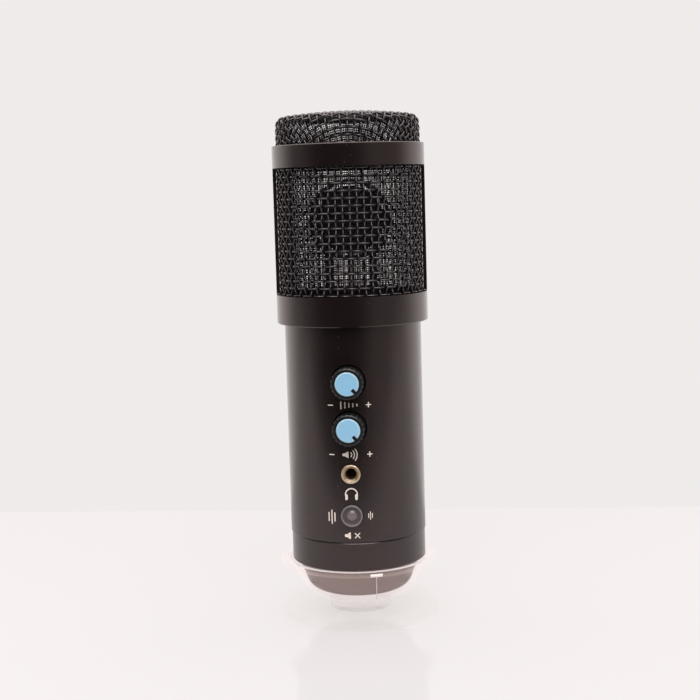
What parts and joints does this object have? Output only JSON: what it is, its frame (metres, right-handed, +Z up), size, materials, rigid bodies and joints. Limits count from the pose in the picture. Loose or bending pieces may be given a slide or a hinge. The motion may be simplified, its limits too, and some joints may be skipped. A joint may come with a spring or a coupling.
{
  "type": "desktop microphone",
  "caption": "Side-address condenser microphone with woven grille head, two knobs, headphone jack and mute button, upright in a clear pedestal stand.",
  "frame": {"origin": "centre of the stand's foot on the table", "axes": "+Z up along the microphone's axis; the controls face -Y; +X is to the right seen from the front"},
  "size_m": [0.0508, 0.0523, 0.1619],
  "materials": {
    "clear_acrylic": "clear polished cast acrylic",
    "black_coating": "satin black anodised and lacquered tube",
    "cast_metal": "as-cast zinc, blasted",
    "grille_wire": "gloss black lacquered woven steel wire",
    "liner_wire": "black fine woven wire cloth",
    "holder_plastic": "moulded black plastic",
    "lug_rubber": "soft black rubber",
    "capsule_metal": "dark turned housing",
    "dark_film": "dark metal coated film",
    "brass": "turned brass, pale",
    "steel_screws": "bright zinc plated",
    "wire_jacket": "vinyl insulation",
    "plated_steel": "nickel plated pressed steel",
    "circuit_board": "green solder mask",
    "chip_plastic": "black moulded epoxy",
    "capacitor_sleeve": "dark blue sleeve, bare aluminium top",
    "pot_housing": "dark moulded housing with plated bushing",
    "knob_plastic": "moulded black plastic, satin",
    "cap_plastic": "moulded pale blue plastic",
    "gold_contacts": "gold flashed springs",
    "button_plastic": "smoky translucent plastic",
    "lamp_lens": "clear lamp",
    "socket_plastic": "off-white moulded insulator"
  },
  "bodies": {
    "stand": {"stand_base": "clear_acrylic", "stand_stem": "clear_acrylic", "stand_cup": "clear_acrylic"},
    "microphone": {"tail_cap": "black_coating", "body_tube": "black_coating", "head_frame": "black_coating", "head_deck": "cast_metal", "grille_outer": "grille_wire", "grille_inner": "liner_wire", "capsule_ring": "holder_plastic", "capsule_suspension": "lug_rubber", "capsule_body": "capsule_metal", "capsule_diaphragms": "dark_film", "capsule_clamp_rings": "capsule_metal", "capsule_screws": "steel_screws", "capsule_bracket": "holder_plastic", "bracket_screws": "steel_screws", "capsule_wires": "wire_jacket", "chassis_rail_left": "plated_steel", "chassis_rail_right": "plated_steel", "rail_screws": "steel_screws", "control_board": "circuit_board", "main_board": "circuit_board", "board_screws": "steel_screws", "board_chips": "chip_plastic", "board_capacitors": "capacitor_sleeve", "board_crystal": "plated_steel", "board_ribbon": "wire_jacket", "effect_pot": "pot_housing", "volume_pot": "pot_housing", "jack_bushing": "brass", "jack_body": "chip_plastic", "jack_contacts": "gold_contacts", "mute_switch": "chip_plastic", "mute_lamp": "lamp_lens", "usb_shell": "plated_steel", "usb_insulator": "socket_plastic", "usb_contacts": "gold_contacts"},
    "effect_control": {"effect_knob": "knob_plastic", "effect_knob_cap": "cap_plastic", "effect_shaft": "plated_steel"},
    "volume_control": {"volume_knob": "knob_plastic", "volume_knob_cap": "cap_plastic", "volume_shaft": "plated_steel"},
    "mute_key": {"mute_button": "button_plastic", "mute_stem": "button_plastic"}
  },
  "joints": [
    {"name": "lift_out", "type": "slide", "parent": "stand", "child": "microphone", "axis": [0, 0, 1], "range_m": [0, 0.06]},
    {"name": "effect_turn", "type": "hinge", "parent": "microphone", "child": "effect_control", "pos_m": [0, 0, 0.07825], "axis": [0, -1, 0], "range_deg": [-3, 277]},
    {"name": "volume_turn", "type": "hinge", "parent": "microphone", "child": "volume_control", "pos_m": [0, 0, 0.0639], "axis": [0, -1, 0], "range_deg": [0, 280]},
    {"name": "mute_press", "type": "slide", "parent": "microphone", "child": "mute_key", "axis": [0, 1, 0], "range_m": [0, 0.0015], "stiffness_N_per_m": 1200}
  ]
}
